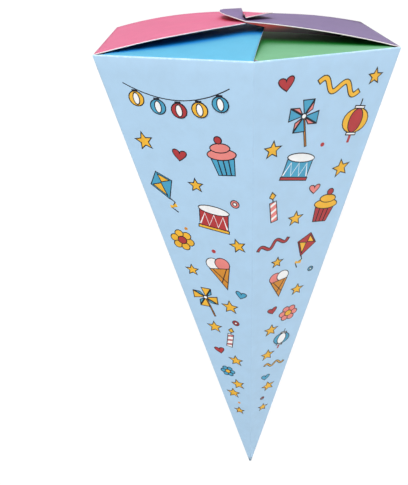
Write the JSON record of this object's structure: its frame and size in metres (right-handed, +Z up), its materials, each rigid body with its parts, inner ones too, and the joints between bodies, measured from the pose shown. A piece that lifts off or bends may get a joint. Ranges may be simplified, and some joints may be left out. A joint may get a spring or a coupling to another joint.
{
  "type": "paper school cone",
  "caption": "Six-sided cone folded from one sheet of printed card, closed at the mouth by petal flaps, for holding sweets or small gifts.",
  "frame": {"origin": "under the middle of the cone's bounding box, on the surface that it lies on", "axes": "+Y from the tip to the mouth, +Z up from the resting panel, +X to the right seen from above with the mouth at the top"},
  "size_m": [0.1698, 0.3448, 0.136],
  "materials": {
    "printed_card": "pale blue printed card with a satin coat, white cut edges and coloured closing flaps"
  },
  "bodies": {
    "root": {"cone_carton": "printed_card"}
  },
  "joints": []
}
